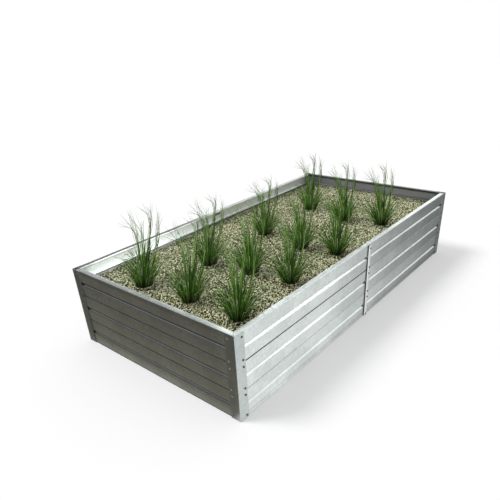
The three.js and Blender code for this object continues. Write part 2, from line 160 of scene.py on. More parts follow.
PLANK_PITCH = (BED_HEIGHT + CLEARANCE) / PLANKS_HIGH
PLANK_HEIGHT = PLANK_PITCH - CLEARANCE
WALL_INSET = POST_SHEET + CLEARANCE
HALF_LENGTH = BED_LENGTH / 2 - WALL_INSET
HALF_WIDTH = BED_WIDTH / 2 - WALL_INSET
BOLT_LEVELS = [level * PLANK_PITCH + height for level in range(PLANKS_HIGH) for height in BOLT_HEIGHTS]
CHANNEL_FACE = -CLEARANCE - CHANNEL_DEPTH
CHANNEL_NUT = PLANK_SHEET + 2 * CLEARANCE + PLATE_THICKNESS
TOUCH = 1e-5  # two places nearer than this are the same
SHEET_SMOOTHING = 40  # degrees between faces up to which a bend looks round
BOLT_SMOOTHING = 42
CUT_EDGE_ROUNDING = 0.0004  # of the posts' and channels' sheet
UPRIGHT = (math.pi / 2, 0, 0)  # turns a grid to face -Y, and a cylinder's axis along Y

# ---- Modelling helpers ----


def deselect_everything():
    bpy.ops.object.select_all(action="DESELECT")


def take_up(obj):
    """Makes obj the only selected object, for the operators."""
    deselect_everything()
    obj.select_set(True)
    bpy.context.view_layer.objects.active = obj


def start_edit(obj):
    take_up(obj)
    bpy.ops.object.mode_set(mode="EDIT")


def end_edit():
    bpy.ops.object.mode_set(mode="OBJECT")


def pick(kind, test):
    """Selects what passes the test among the edited object's VERT, EDGE or FACE elements."""
    bpy.ops.mesh.select_mode(type=kind)
    bpy.ops.mesh.select_all(action="DESELECT")
    mesh = bpy.context.edit_object.data
    shape = bmesh.from_edit_mesh(mesh)
    for element in {"VERT": shape.verts, "EDGE": shape.edges, "FACE": shape.faces}[kind]:
        if test(element):
            element.select_set(True)
    bmesh.update_edit_mesh(mesh)


def same(a, b):
    return abs(a - b) < TOUCH


def on_line(edge, y, z):
    """Whether an edge runs along X at that depth and height."""
    return all(same(v.co.y, y) and same(v.co.z, z) for v in edge.verts)


def extrude(move):
    bpy.ops.mesh.extrude_region_move(TRANSFORM_OT_translate={"value": move})


def upright_sheet(columns, rows, middle, width, height):
    """A flat grid that faces -Y, left in edit mode."""
    deselect_everything()
    bpy.ops.mesh.primitive_grid_add(
        x_subdivisions=columns, y_subdivisions=rows, size=1, location=middle, rotation=UPRIGHT,
    )
    sheet = bpy.context.object
    sheet.scale = (width, height, 1)
    apply_place(sheet)
    start_edit(sheet)
    return sheet


def cylinder_along_y(sides, radius, depth, middle):
    deselect_everything()
    bpy.ops.mesh.primitive_cylinder_add(
        vertices=sides, radius=radius, depth=depth, location=middle, rotation=UPRIGHT,
    )
    cylinder = bpy.context.object
    apply_place(cylinder)
    return cylinder


def cut_at(point, normal, drop_beyond=False):
    bpy.ops.mesh.select_all(action="SELECT")
    bpy.ops.mesh.bisect(plane_co=point, plane_no=normal, clear_outer=drop_beyond)


def apply_place(obj):
    take_up(obj)
    bpy.ops.object.transform_apply(location=True, rotation=True, scale=True)


def add_modifier(obj, kind, **settings):
    """Adds one modifier and applies it."""
    take_up(obj)
    modifier = obj.modifiers.new(kind.lower(), kind)
    for name, value in settings.items():
        setattr(modifier, name, value)
    bpy.ops.object.modifier_apply(modifier=modifier.name)


def thicken(sheet, thickness):
    """Gives a sheet its thickness, inwards from its outer face."""
    add_modifier(sheet, "SOLIDIFY", thickness=thickness, offset=-1, use_even_offset=True)


def round_cut_edges(sheet):
    add_modifier(
        sheet, "BEVEL", width=CUT_EDGE_ROUNDING, segments=2, limit_method="ANGLE",
        angle_limit=math.radians(50),
    )


def smooth(obj, degrees):
    take_up(obj)
    bpy.ops.object.shade_smooth_by_angle(angle=math.radians(degrees))


def add_piece(name, mesh):
    piece = bpy.data.objects.new(name, mesh)
    bpy.context.collection.objects.link(piece)
    return piece


def copy_of(blank, name, place):
    """A piece of its own from a blank, with its place in its mesh."""
    mesh = blank.data.copy()
    mesh.transform(place)
    return add_piece(name, mesh)


def copies_of(blank, name, places):
    """One piece that holds a copy of the blank at each place."""
    whole = bmesh.new()
    for place in places:
        copy = blank.data.copy()
        copy.transform(place)
        whole.from_mesh(copy)
        bpy.data.meshes.remove(copy)
    mesh = bpy.data.meshes.new(name)
    whole.to_mesh(mesh)
    whole.free()
    return add_piece(name, mesh)


def finish_piece(piece, finish, slot, *nodes):
    """Gives a piece its material and its body, and hides the CAD nodes that it stands for."""
    piece.data.materials.clear()
    piece.data.materials.append(finish)
    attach(piece, "root")
    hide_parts(*nodes)


def turned(degrees, at=(0, 0, 0)):
    return Matrix.Translation(at) @ Matrix.Rotation(math.radians(degrees), 4, "Z")


# ---- Materials ----


class Field:
    """A number or colour that varies over a surface. Arithmetic on numbers adds Math nodes."""

    def __init__(self, recipe, socket):
        self.recipe = recipe
        self.socket = socket

    def math(self, operation, first, second):
        return self.recipe.node("Math", {0: first, 1: second}, {"operation": operation})

    def __add__(self, other):
        return self.math("ADD", self, other)

    def __sub__(self, other):
        return self.math("SUBTRACT", self, other)

    def __rsub__(self, other):
        return self.math("SUBTRACT", other, self)

    def __mul__(self, other):
        return self.math("MULTIPLY", self, other)

    __radd__ = __add__
    __rmul__ = __mul__


class Recipe:
    """The nodes of one material, or of the world."""

    def __init__(self, owner):
        owner.use_nodes = True
        self.tree = owner.node_tree
        self.tree.nodes.clear()

    def node(self, kind, inputs=None, settings=None, stops=None, out=0):
        """Adds a node: its settings first, then a ramp's stops, then its sockets' values or links."""
        made = self.tree.nodes.new("ShaderNode" + kind)
        for name, value in (settings or {}).items():
            setattr(made, name, value)
        if stops:
            ramp = made.color_ramp
            while len(ramp.elements) < len(stops):
                ramp.elements.new(1)
            for element, (position, colour) in zip(ramp.elements, stops):
                element.position = position
                element.color = (*colour, 1)
        for name, value in (inputs or {}).items():
            if isinstance(value, Field):
                self.tree.links.new(value.socket, made.inputs[name])
            else:
                made.inputs[name].default_value = value
        return Field(self, made.outputs[out]) if made.outputs else None

    def place(self):
        return self.node("TexCoord", out="Object")

    def axis(self, vector, letter):
        return self.node("SeparateXYZ", {0: vector}, out=letter)

    def noise(self, where, scale, detail=3, roughness=0.55):
        inputs = {"Vector": where, "Scale": scale, "Detail": detail, "Roughness": roughness}
        return self.node("TexNoise", inputs)

    def step(self, value, start, end, low=0.0, high=1.0):
        """Goes smoothly from low, where the value is start, to high, where it is end."""
        inputs = {"Value": value, "From Min": start, "From Max": end, "To Min": low, "To Max": high}
        return self.node("MapRange", inputs, {"interpolation_type": "SMOOTHSTEP"})

    def mix(self, factor, first, second):
        """A colour between two colours."""
        inputs = {0: factor, 6: first, 7: second}
        return self.node("Mix", inputs, {"data_type": "RGBA"}, out=2)

    def bump(self, height, distance, strength=1.0, under=None):
        inputs = {"Height": height, "Distance": distance, "Strength": strength}
        if under:
            inputs["Normal"] = under
        return self.node("Bump", inputs)

    def surface(self, shader):
        self.node("OutputMaterial", {"Surface": shader})

    def finish(self, colour, roughness, normal, **others):
        inputs = {"Base Color": colour, "Roughness": roughness, "Normal": normal, **others}
        self.surface(self.node("BsdfPrincipled", inputs))


def rgb(red, green, blue):
    return (red, green, blue, 1)


def new_material(name):
    material = bpy.data.materials.new(name)
    return material, Recipe(material)


ZINC_METALLIC = 0.97


def galvanised(name, dark, light, roughness, painted_shade=None, rougher=None, tint=None):
    """Zinc-coated sheet: soft clouds, faint crystals, shallow dents, and splashed dirt near the ground.
    The piece's own darkening, if given, is painted shade and painted dark reflection, which also roughens;
    rougher adds roughness in places, and tint paints light and reflection into the colour in places."""
    material, r = new_material(name)
    place = r.place()
    clouds = r.noise(place, 7, 4)
    fine = r.noise(place, 60, 4, 0.65)
    crystals = r.node("TexVoronoi", {"Vector": place, "Scale": 105}, out="Color")
    crystal = r.axis(crystals, "X")
    tone = clouds * 0.6 + fine * 0.25 + crystal * 0.15
    colour = r.mix(r.step(tone, 0.36, 0.64), rgb(*dark), rgb(*light))
    if tint:
        colour = tint(r, place, colour)
    height = r.axis(place, "Z")
    splash = r.step(height + r.noise(place, 22, 5) * 0.03, 0.045, 0.012)
    spots = r.step(r.noise(place, 140, 3, 0.7), 0.62, 0.72)
    dirt_and_shade = splash * 0.15 + spots * 0.12
    # The piece's painted shade joins the dirt here, and darkens and roughens with it
    if painted_shade:
        dirt_and_shade = dirt_and_shade + painted_shade(r, place)
    colour = r.mix(dirt_and_shade, colour, rgb(0.06, 0.063, 0.058))
    rough = fine * 0.10 + crystal * 0.05 + dirt_and_shade * 0.25 + (roughness - 0.075)
    if rougher:
        rough = rough + rougher(r, place)
    dents = r.bump(r.noise(place, 3.2, 2), 0.004, 0.2)
    grain = r.bump(r.noise(place, 520, 3, 0.6) * 0.7 + crystal * 0.3, 0.00005, 0.5, dents)
    r.finish(colour, rough, grain, Metallic=ZINC_METALLIC)
    return material


# Where the masks on the planks start and are full, in the bed's frame
FRONT_WALL = (-0.45, -0.49)
LEFT_END = (-0.960, -0.966)
BELOW_RIM = (2.9 * PLANK_PITCH, 2.8 * PLANK_PITCH)
UPPER_JOINT = (1.7 * PLANK_PITCH, 1.8 * PLANK_PITCH)
LEFT_SECTION = (0.01, -0.01)
RIGHT_RIM = (0.945, 0.950)
BACK_RIM = (0.4735, 0.4755)
LEFT_RIM = (-0.9545, -0.9560)
ABOVE_GRAVEL = (0.330, 0.334)
UNDER_RIM = (0.3860, 0.3850)
BACK_INSIDE = ((0.455, 0.465), (0.4969, 0.4966))
RIGHT_INSIDE = ((0.930, 0.940), (0.9744, 0.9741))
BACK_WALL = (0.450, 0.470)
# The same along the height of one plank, from its foot
GROOVE_HEAD = (GROOVE_TOP + 0.0015, GROOVE_TOP - 0.0002)
GROOVE_SILL = ((GROOVE_BOTTOM - 0.0008, GROOVE_BOTTOM), (GROOVE_BOTTOM + 0.0044, GROOVE_BOTTOM + 0.0034))
BELOW_GROOVE = (GROOVE_BOTTOM + 0.002, GROOVE_BOTTOM - 0.005)


def joint_painted_shade(r, above_joint, x, z, front, left_end):
    """Painted shade where planks meet: thin dark lines, a thick one in the upper joint of the front left
    section, and darkened plank edges at the left end."""
    distance = r.node("Math", {0: above_joint}, {"operation": "ABSOLUTE"})
    thin = r.step(distance, 0.0016, 0.0008) * 0.6
    thick = r.step(distance, 0.0034, 0.0020) * front * r.step(x, *LEFT_SECTION) * r.step(z, *UPPER_JOINT)
    edge = r.step(above_joint, 0.0056, 0.0042) * r.step(above_joint, -0.0015, -0.0005)
    return thin * (1 - left_end) + thick + edge * left_end * 0.85


def groove_painted_shade(r, above_foot, x, front, left_end):
    """Painted shade in the grooves at the left end, and in those of the front wall, deeper towards its right
    end.
    """
    head = r.step(above_foot, *GROOVE_HEAD)
    sill = r.step(above_foot, *GROOVE_SILL[0]) * r.step(above_foot, *GROOVE_SILL[1]) * 0.5
    floor_at_end = r.step(above_foot, GROOVE_FLOOR[0] - 0.0019, GROOVE_FLOOR[0] - 0.0007) * head
    floor_at_front = r.step(above_foot, GROOVE_FLOOR[0] - 0.0030, GROOVE_FLOOR[0] - 0.0010) * head
    return (floor_at_end * 0.9 + sill) * left_end + floor_at_front * front * r.step(x, -0.4, 0.3) * 0.45


def rim_painted_shade(r, x, y):
    """Rims painted darker, as painted dark reflection, and rougher: on the right end, the back's left half
    and a little on the left end.
    """
    right = r.step(x, *RIGHT_RIM) * r.step(x, 0.9535, 0.9525, 0.72, 0.9)
    back = r.step(y, *BACK_RIM) * r.step(x, 0.0, -0.4) * 0.7
    left = r.step(x, *LEFT_RIM) * r.step(y, -0.44, -0.36) * 0.22
    return right + back + left


def plank_painted_shade(r, place):
    """Painted shade in the planks' joints and grooves and on the front wall's lower flats, painted dark
    reflection on the rims, and a thin dark line low on the front wall.
    """
    x, y, z = (r.axis(place, letter) for letter in "XYZ")
    above_foot = r.node("Math", {0: z, 1: PLANK_PITCH}, {"operation": "MODULO"})
    past_middle = r.node("Math", {0: z + PLANK_PITCH / 2, 1: PLANK_PITCH}, {"operation": "MODULO"})
    front = r.step(y, *FRONT_WALL)
    left_end = r.step(x, *LEFT_END)
    below_rim = r.step(z, *BELOW_RIM)
    joints = joint_painted_shade(r, past_middle - PLANK_PITCH / 2, x, z, front, left_end)
    foot_line = r.step(z, 0.0194, 0.0204) * r.step(z, 0.0226, 0.0216) * front * 0.5
    # Painted shade on the front wall's flats below the grooves, deeper to the right and on the lowest plank
    lower_flat = r.step(above_foot, *BELOW_GROOVE) * front * r.step(x, -0.6, 0.5)
    lowest_plank = r.step(z, 0.060, 0.045, 0.2, 0.3)
    return (
        joints * below_rim + groove_painted_shade(r, above_foot, x, front, left_end)
        + (1 - below_rim) * rim_painted_shade(r, x, y) + foot_line + lower_flat * lowest_plank
    )


def back_roughness(r, place):
    """Extra roughness of the back wall, set so that the spot's gloss spreads as in the photo."""
    return r.step(r.axis(place, "Y"), *BACK_WALL) * 0.20


def inner_wall_painted_light(r, place, colour):
    """Painted light and reflection on the inner walls above the gravel: the inside of the back wall painted a
    pale blue-white, faintly at its left and nearly fully from x = -0.3 on, and the inside of the right end
    painted violet-blue. This cancels the olive cast of the gravel that the inner walls mirror in the main
    view.
    It isn't the zinc's own colour: without it the inside of the right end is the planks' plain grey."""
    x, y, z = (r.axis(place, letter) for letter in "XYZ")
    bare = r.step(z, *ABOVE_GRAVEL) * r.step(z, *UNDER_RIM)
    back_face = r.step(y, *BACK_INSIDE[0]) * r.step(y, *BACK_INSIDE[1])
    right_face = r.step(x, *RIGHT_INSIDE[0]) * r.step(x, *RIGHT_INSIDE[1])
    back = bare * back_face * r.step(x, -0.75, -0.3, 0.12, 0.95)
    pale = r.mix(back, colour, rgb(0.93, 0.96, 1.0))
    return r.mix(bare * right_face * 0.9, pale, rgb(0.60, 0.575, 0.86))


def channel_painted_shade(r, place):
    """Painted shade down the sides of a joint channel, behind its rounded front, which also roughens them."""
    depth = r.node("Math", {0: r.axis(place, "Y")}, {"operation": "ABSOLUTE"})
    return r.step(depth, 0.5035, 0.5010) * 0.85


def worn_fastener():
    material, r = new_material("zinc_fastener")
    place = r.place()
    wear = r.noise(place, 300, 4, 0.6)
    colour = r.mix(r.step(wear, 0.4, 0.75), rgb(0.075, 0.08, 0.078), rgb(0.22, 0.23, 0.225))
    # Painted highlight: the heads on the left end are painted paler
    left_head_highlight = r.step(r.axis(place, "X"), -0.9770, -0.9785)
    colour = r.mix(left_head_highlight, colour, rgb(0.42, 0.43, 0.41))
    r.finish(colour, wear * 0.25 + 0.22, r.bump(r.noise(place, 900, 2), 0.00005, 0.4), Metallic=0.8)
    return material


def moist_soil():
    material, r = new_material("moist_soil")
    place = r.place()
    crumbs = r.noise(place, 55, 6, 0.7)
    colour = r.mix(r.step(crumbs, 0.35, 0.7), rgb(0.022, 0.014, 0.009), rgb(0.085, 0.055, 0.034))
    r.finish(colour, 0.95, r.bump(crumbs, 0.006))
    return material


def fine_gravel():
    """The finer gravel that shows between the stones, painted dark as the shade in the gaps."""
    material, r = new_material("fine_gravel")
    place = r.place()
    grains = r.node("TexVoronoi", {"Vector": place, "Scale": 300}, out="Distance")
    tint = r.noise(place, 90, 4)
    colour = r.mix(r.step(tint, 0.3, 0.75), rgb(0.035, 0.034, 0.016), rgb(0.15, 0.14, 0.075))
    r.finish(colour, 0.9, r.bump(grains, 0.003, 0.8))
    return material


def river_stone():
    """Pale stones, painted dark low down as shade: the chart's u is each stone's own tint and v the height on
    the stone.
    """
    material, r = new_material("river_stone")
    chart = r.node("UVMap", settings={"uv_map": "OFBake"})
    tint = r.axis(chart, "X")
    level = r.axis(chart, "Y")
    stone = r.node("ValToRGB", {0: tint}, stops=[
        (0.0, (0.11, 0.11, 0.045)), (0.25, (0.36, 0.36, 0.17)), (0.5, (0.69, 0.70, 0.42)),
        (0.75, (0.86, 0.87, 0.57)), (1.0, (0.95, 0.97, 0.77)),
    ])
    # Painted shade: each stone is dark on its lower part
    colour = r.mix(r.step(level, 0.1, 0.65), rgb(0.07, 0.070, 0.034), stone)
    place = r.place()
    pits = r.noise(place, 700, 4, 0.6)
    r.finish(colour, 0.72, r.bump(pits, 0.0006, 0.35))
    return material


def grass_blade():
    """Fine grass: the chart's u is each blade's own tint and v runs from its foot to its tip."""
    material, r = new_material("grass_blade")
    chart = r.node("UVMap", settings={"uv_map": "OFBake"})
    tint = r.axis(chart, "X")
    along = r.axis(chart, "Y")
    blade = r.node("ValToRGB", {0: tint}, stops=[
        (0.0, (0.026, 0.066, 0.010)), (0.30, (0.100, 0.25, 0.022)), (0.60, (0.28, 0.56, 0.080)),
        (0.85, (0.52, 0.74, 0.27)), (0.94, (0.82, 0.88, 0.58)), (1.0, (0.95, 0.97, 0.80)),
    ])
    height = r.axis(r.place(), "Z")
    # Painted shade at the clump's foot: blades and crown darken towards the gravel
    foot = r.step(height, GRAVEL_TOP + 0.044, GRAVEL_TOP + 0.004) * 0.75
    tip = r.step(along, 0.65, 1.0) * 0.6
    colour = r.mix(foot, blade, rgb(0.014, 0.036, 0.005))
    colour = r.mix(tip, colour, rgb(0.15, 0.20, 0.11))
    veins = r.noise(r.place(), 420, 3)
    r.finish(colour, 0.6, r.bump(veins, 0.0004, 0.4), **{"Specular IOR Level": 0.25})
    return material


PLANK_STEEL = galvanised(
    "galvanised_plank", (0.58, 0.625, 0.61), (0.72, 0.765, 0.75), 0.38,
    painted_shade=plank_painted_shade, rougher=back_roughness, tint=inner_wall_painted_light,
)
POST_STEEL = galvanised("galvanised_post", (0.44, 0.485, 0.475), (0.54, 0.585, 0.575), 0.38)
CHANNEL_STEEL = galvanised(
    "galvanised_channel", (0.74, 0.77, 0.76), (0.83, 0.86, 0.85), 0.36, painted_shade=channel_painted_shade,
)
FASTENER_STEEL = worn_fastener()
SOIL = moist_soil()
FINE_GRAVEL = fine_gravel()
STONE = river_stone()
GRASS = grass_blade()

# ---- Planks ----


def plank_blank():
    """A rolled plank along X, still endless: its outer face is at y = 0 and its foot at z = 0."""
    blank = upright_sheet(PLANK_SLICES, 1, (0, 0, PLANK_HEIGHT / 2), BED_LENGTH * 1.1, PLANK_HEIGHT)
    for height in (GROOVE_BOTTOM, *GROOVE_FLOOR, GROOVE_TOP):
        cut_at((0, 0, height), (0, 0, 1))
    pick("VERT", lambda v: GROOVE_FLOOR[0] - TOUCH < v.co.z < GROOVE_FLOOR[1] + TOUCH)
    bpy.ops.transform.translate(value=(0, GROOVE_DEPTH, 0))
    for height, lip in ((PLANK_HEIGHT, -LIP_HEIGHT), (0, LIP_HEIGHT)):
        pick("EDGE", lambda e: on_line(e, 0, height))
        extrude((0, FLANGE_DEPTH, 0))
        extrude((0, 0, lip))
    bends = [(depth, height) for depth in (0, FLANGE_DEPTH) for height in (0, PLANK_HEIGHT)]
    pick("EDGE", lambda e: any(on_line(e, *bend) for bend in bends))
    bpy.ops.mesh.bevel(offset=PLANK_EDGE_RADIUS, segments=4, affect="EDGES")
    creases = [
        (0, GROOVE_BOTTOM), (GROOVE_DEPTH, GROOVE_FLOOR[0]), (GROOVE_DEPTH, GROOVE_FLOOR[1]), (0, GROOVE_TOP),
    ]
    pick("EDGE", lambda e: any(on_line(e, *crease) for crease in creases))
    bpy.ops.mesh.bevel(offset=GROOVE_EDGE_RADIUS, segments=3, affect="EDGES")
    end_edit()
    return blank


def cut_end(x, side, mitred):
    """Cuts the edited plank at x, keeping what lies towards the other side."""
    normal = (side, 1, 0) if mitred else (side, 0, 0)
    cut_at((x, 0, 0), normal, drop_beyond=True)


SHEET_WAVES = bpy.data.textures.new("sheet_waves", "CLOUDS")
SHEET_WAVES.noise_scale = SHEET_WAVE_LENGTH


def add_planks(section, blank, place, left, right):
    """Three planks, one above the other, between two ends, each given as (x, mitred)."""
    plank = copy_of(blank, section, Matrix())
    start_edit(plank)
    cut_end(left[0], -1, left[1])
    cut_end(right[0], 1, right[1])
    end_edit()
    for level, level_name in enumerate(("lower", "middle", "upper")):
        node = f"{section}_plank_{level_name}"
        piece = copy_of(plank, f"{node}_sheet", place @ Matrix.Translation((0, 0, level * PLANK_PITCH)))
        add_modifier(
            piece, "DISPLACE", texture=SHEET_WAVES, texture_coords="LOCAL",
            strength=SHEET_WAVE_DEPTH, mid_level=1.0,
        )
        thicken(piece, PLANK_SHEET)
        smooth(piece, SHEET_SMOOTHING)
        finish_piece(piece, PLANK_STEEL, "plank_steel", node)
    bpy.data.objects.remove(plank)


def add_walls():
    blank = plank_blank()
    end = HALF_LENGTH - MITRE_PULL_BACK
    corner = HALF_WIDTH - MITRE_PULL_BACK
    front, back = turned(0, (0, -HALF_WIDTH, 0)), turned(180, (0, HALF_WIDTH, 0))
    add_planks("front_left", blank, front, (-end, True), (-BUTT_PULL_BACK, False))
    add_planks("front_right", blank, front, (BUTT_PULL_BACK, False), (end, True))
    add_planks("back_right", blank, back, (-end, True), (-BUTT_PULL_BACK, False))
    add_planks("back_left", blank, back, (BUTT_PULL_BACK, False), (end, True))
    add_planks("right_end", blank, turned(90, (HALF_LENGTH, 0, 0)), (-corner, True), (corner, True))
    add_planks("left_end", blank, turned(-90, (-HALF_LENGTH, 0, 0)), (-corner, True), (corner, True))
    bpy.data.objects.remove(blank)


# ---- Bolts ----


def bolt_blank(nut_start, shank_radius=SHANK_RADIUS):
    """A bolt along Y: its head rises towards -Y from y = 0, and its nut starts at y = nut_start."""
    skirt = HEAD_HEIGHT * HEAD_SKIRT
    bolt = cylinder_along_y(20, HEAD_RADIUS, skirt, (0, -skirt / 2, 0))
    start_edit(bolt)
    pick("FACE", lambda f: f.normal.y < -0.9)
    top_radius = HEAD_RADIUS
    for rise, shrink in HEAD_DOME:
        extrude((0, -HEAD_HEIGHT * rise, 0))
        bpy.ops.transform.resize(value=(shrink, 1, shrink))
        top_radius *= shrink
    bpy.ops.mesh.inset(thickness=top_radius - SOCKET_RADIUS)
    extrude((0, SOCKET_DEPTH, 0))
    pick("FACE", lambda f: f.normal.y > 0.9 and len(f.verts) > 4)
    bpy.ops.mesh.inset(thickness=HEAD_RADIUS - shank_radius)
    extrude((0, nut_start, 0))
    end_edit()
    nut = cylinder_along_y(6, NUT_RADIUS, NUT_HEIGHT, (0, nut_start + NUT_HEIGHT / 2, 0))
    start_edit(nut)
    pick("FACE", lambda f: f.normal.y > 0.9)
    extrude((0, 0, 0))
    bpy.ops.transform.resize(value=(NUT_FACE, 1, NUT_FACE))
    bpy.ops.transform.translate(value=(0, -NUT_HEIGHT * NUT_DISH, 0))
    bpy.ops.mesh.select_all(action="SELECT")
    bpy.ops.mesh.normals_make_consistent(inside=False)
    end_edit()
    deselect_everything()
    nut.select_set(True)
    bolt.select_set(True)
    bpy.context.view_layer.objects.active = bolt
    bpy.ops.object.join()
    smooth(bolt, BOLT_SMOOTHING)
    return bolt


# ---- Corner posts ----


def post_blank():
    """The front left post, its outer corner at the origin and its legs along +X and +Y."""
    post = upright_sheet(1, 12, (POST_LEG / 2, 0, BED_HEIGHT / 2), POST_LEG, BED_HEIGHT)
    pick("EDGE", lambda e: all(same(v.co.x, 0) for v in e.verts))
    extrude((0, POST_LEG, 0))
    pick("EDGE", lambda e: all(same(v.co.x, 0) and same(v.co.y, 0) for v in e.verts))
    bpy.ops.mesh.bevel(offset=POST_BEND_RADIUS, segments=6, affect="EDGES")
    end_edit()
    thicken(post, POST_SHEET)
    round_cut_edges(post)
    smooth(post, SHEET_SMOOTHING)
    return post


def add_corners():
    post = post_blank()
    bolt = bolt_blank(WALL_INSET + PLANK_SHEET + CLEARANCE)
    front_bolts = [Matrix.Translation((BOLT_FROM_CORNER, 0, z)) for z in BOLT_LEVELS]
    end_bolts = [turned(-90, (0, BOLT_FROM_CORNER, z)) for z in BOLT_LEVELS]
    corners = {
        "front_left": (0, -1, -1), "front_right": (90, 1, -1),
        "back_right": (180, 1, 1), "back_left": (-90, -1, 1),
    }
    for name, (turn, x, y) in corners.items():
        node = f"corner_post_{name}"
        place = turned(turn, (x * BED_LENGTH / 2, y * BED_WIDTH / 2, 0))
        finish_piece(copy_of(post, f"{node}_angle", place), POST_STEEL, "post_steel", node)
        bolts = copies_of(bolt, f"{node}_bolts", [place @ spot for spot in front_bolts + end_bolts])
        finish_piece(bolts, FASTENER_STEEL, "fastener_steel", node)
    for blank in (post, bolt):
        bpy.data.objects.remove(blank)


# ---- Joint channels and tie rod ----


def channel_blank():
    """A joint channel in its wall's frame, with a closed top."""
    tall = CHANNEL_TOP - CHANNEL_FOOT
    channel = upright_sheet(1, 12, (0, CHANNEL_FACE, CHANNEL_FOOT + tall / 2), CHANNEL_WIDTH, tall)
    half = CHANNEL_WIDTH / 2
    for side in (-1, 1):
        pick("EDGE", lambda e: all(same(v.co.x, side * half) for v in e.verts))
        extrude((0, CHANNEL_DEPTH, 0))
    pick("EDGE", lambda e: all(same(abs(v.co.x), half) and same(v.co.y, CHANNEL_FACE) for v in e.verts))
    bpy.ops.mesh.bevel(offset=CHANNEL_EDGE_RADIUS, segments=6, affect="EDGES")
    pick("EDGE", lambda e: all(same(v.co.z, CHANNEL_TOP) for v in e.verts))
    bpy.ops.mesh.edge_face_add()
    bpy.ops.mesh.select_all(action="SELECT")
    bpy.ops.mesh.normals_make_consistent(inside=False)
    end_edit()
    thicken(channel, CHANNEL_SHEET)
    round_cut_edges(channel)
    smooth(channel, SHEET_SMOOTHING)
    return channel


def add_joints():
    channel = channel_blank()
    bolt = bolt_blank(CHANNEL_NUT - CHANNEL_FACE)
    levels = [z for level, z in enumerate(BOLT_LEVELS) if level != TIE_LEVEL]
    walls = {"front": turned(0, (0, -HALF_WIDTH, 0)), "back": turned(180, (0, HALF_WIDTH, 0))}
    for name, wall in walls.items():
        node = f"joint_channel_{name}"
        finish_piece(copy_of(channel, f"{node}_cover", wall), CHANNEL_STEEL, "channel_steel", node)
        places = [wall @ Matrix.Translation((0, CHANNEL_FACE, z)) for z in levels]
        finish_piece(copies_of(bolt, f"{node}_bolts", places), FASTENER_STEEL, "fastener_steel", node)
    add_tie_rod(walls)
    for blank in (channel, bolt):
        bpy.data.objects.remove(blank)


def add_tie_rod(walls):
    """The rod across the bed, with a head outside each channel and a nut inside each wall."""
    end = bolt_blank(CHANNEL_NUT - CHANNEL_FACE, TIE_RADIUS)
    height = BOLT_LEVELS[TIE_LEVEL]
    face = CHANNEL_FACE - CLEARANCE
    ends = copies_of(end, "tie_rod_ends", [w @ Matrix.Translation((0, face, height)) for w in walls.values()])
    reach = HALF_WIDTH - CHANNEL_NUT
    rod = cylinder_along_y(16, TIE_RADIUS, 2 * reach, (0, 0, height))
    ends.select_set(True)
    bpy.ops.object.join()
    smooth(rod, BOLT_SMOOTHING)
    rod.name = "tie_rod_dressed"
    finish_piece(rod, FASTENER_STEEL, "fastener_steel", "tie_rod")
    bpy.data.objects.remove(end)


# ---- Gravel ----


def gravel_bed():
    """The fine gravel under the stones: a slab with an uneven top."""
    deselect_everything()
    bpy.ops.mesh.primitive_grid_add(
        x_subdivisions=96, y_subdivisions=48, size=2, location=(0, 0, GRAVEL_BED_TOP),
    )
    bed = bpy.context.object
    bed.scale = (HALF_LENGTH - GRAVEL_INSET, HALF_WIDTH - GRAVEL_INSET, 1)
    apply_place(bed)
    start_edit(bed)
    bpy.ops.mesh.select_all(action="SELECT")
    bpy.ops.transform.vertex_random(offset=FINE_GRAVEL_UNEVENNESS, uniform=0, normal=1, seed=3)
    pick("EDGE", lambda e: e.is_boundary)
    extrude((0, 0, GRAVEL_FOOT - GRAVEL_BED_TOP))
    bpy.ops.transform.resize(value=(1, 1, 0))
    bpy.ops.mesh.edge_face_add()
    bpy.ops.mesh.select_all(action="SELECT")
    bpy.ops.mesh.normals_make_consistent(inside=False)
    end_edit()
    smooth(bed, 50)
    bed.name = "gravel_bed"
    finish_piece(bed, FINE_GRAVEL, "gravel", "gravel_layer")


def stone_shapes():
    """The points of a few rounded lumps, 2 across each way, and the faces that they share."""
    shapes = []
    for seed in range(STONE_SHAPES):
        deselect_everything()
        bpy.ops.mesh.primitive_cube_add(size=2)
        stone = bpy.context.object
        start_edit(stone)
        bpy.ops.mesh.select_all(action="SELECT")
        bpy.ops.mesh.subdivide(number_cuts=1)
        bpy.ops.transform.tosphere(value=0.75)
        bpy.ops.transform.vertex_random(offset=0.22, uniform=0.6, seed=seed + 1)
        bpy.ops.mesh.vertices_smooth(factor=0.25)
        end_edit()
        points = np.array([v.co for v in stone.data.vertices])
        shapes.append(points / np.abs(points).max(axis=0))
        faces = np.array([tuple(face.vertices) for face in stone.data.polygons])
        bpy.data.objects.remove(stone)
    return np.array(shapes), faces


def turn_matrices(heading, tilt, roll):
    """One rotation for each stone: roll about X, then tilt about Y, then heading about Z."""
    ch, sh, ct, st, cr, sr = (f(a) for a in (heading, tilt, roll) for f in (np.cos, np.sin))
    return np.stack([
        np.stack([ch * ct, ch * st * sr - sh * cr, ch * st * cr + sh * sr], axis=-1),
        np.stack([sh * ct, sh * st * sr + ch * cr, sh * st * cr - ch * sr], axis=-1),
        np.stack([-st, ct * sr, ct * cr], axis=-1),
    ], axis=-2)


def mesh_from(name, points, faces, chart):
    """A smooth mesh with a UV chart given for each point."""
    mesh = bpy.data.meshes.new(name)
    mesh.from_pydata(points.tolist(), [], faces)
    layer = mesh.uv_layers.new(name="OFBake")
    corners = np.empty(len(mesh.loops), dtype=np.int32)
    mesh.loops.foreach_get("vertex_index", corners)
    layer.data.foreach_set("uv", chart[corners].astype(np.float32).ravel())
    mesh.polygons.foreach_set("use_smooth", np.ones(len(mesh.polygons), dtype=bool))
    return mesh


def scatter(i, j):
    """An even spread of numbers from 0 to 1, one for each pair of numbers."""
    wave = np.sin(i * 12.9898 + j * 78.233) * 43758.5453
    return wave - np.floor(wave)


def drop_at(i, j, drops):
    return drops[0] + (drops[1] - drops[0]) * scatter(i, j)


